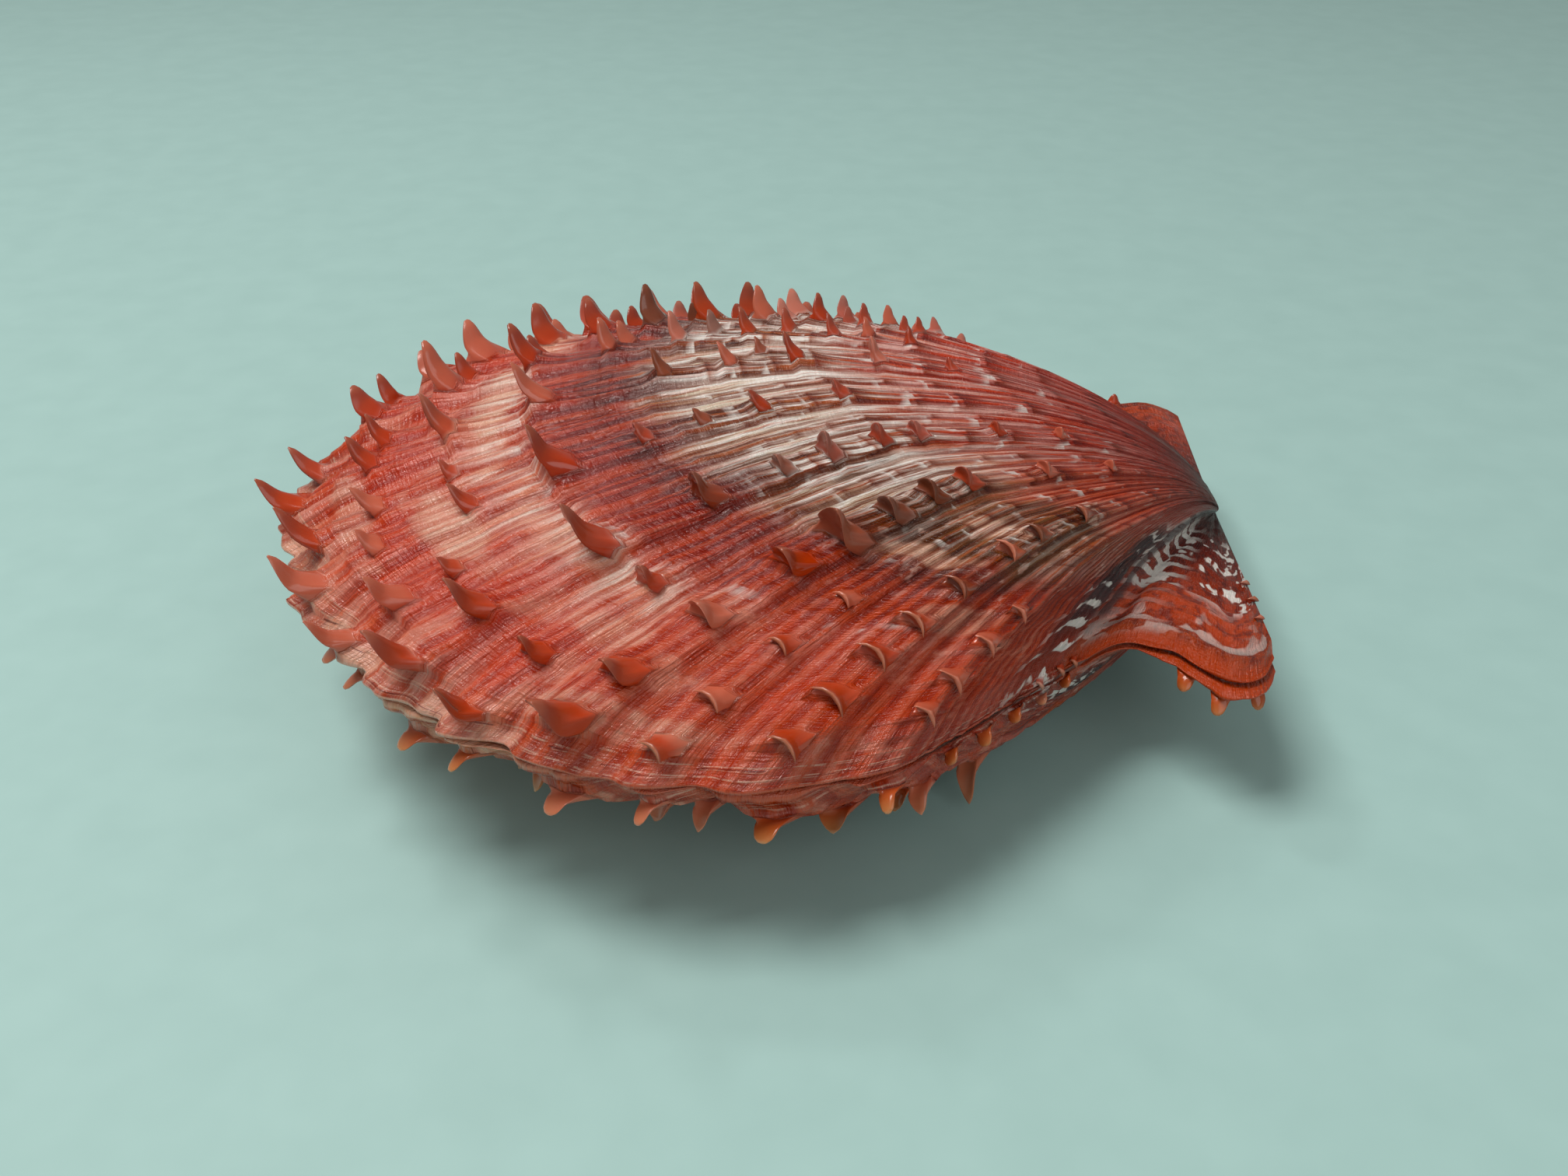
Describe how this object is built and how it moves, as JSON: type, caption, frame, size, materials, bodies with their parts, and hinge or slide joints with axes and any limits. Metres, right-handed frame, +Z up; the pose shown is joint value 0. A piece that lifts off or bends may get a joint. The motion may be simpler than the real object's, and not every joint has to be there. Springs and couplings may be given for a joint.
{
  "type": "scallop shell",
  "caption": "Closed spiny scallop shell: ribbed, spined valves meeting along a straight hinge with an ear on each side, resting on its flatter valve.",
  "frame": {"origin": "on the ground under the middle of the shell's box", "axes": "+X from the free margin to the hinge, the hinge line along Y with the larger ear at -Y, +Z up through the upper valve"},
  "size_m": [0.0616, 0.06, 0.0226],
  "materials": {
    "upper_shell": "glossy coral-red shell with cream and maroon bands",
    "lower_shell": "glossy salmon shell with rows of orange-brown patches"
  },
  "bodies": {
    "root": {"upper_valve": "upper_shell", "lower_valve": "lower_shell"}
  },
  "joints": []
}
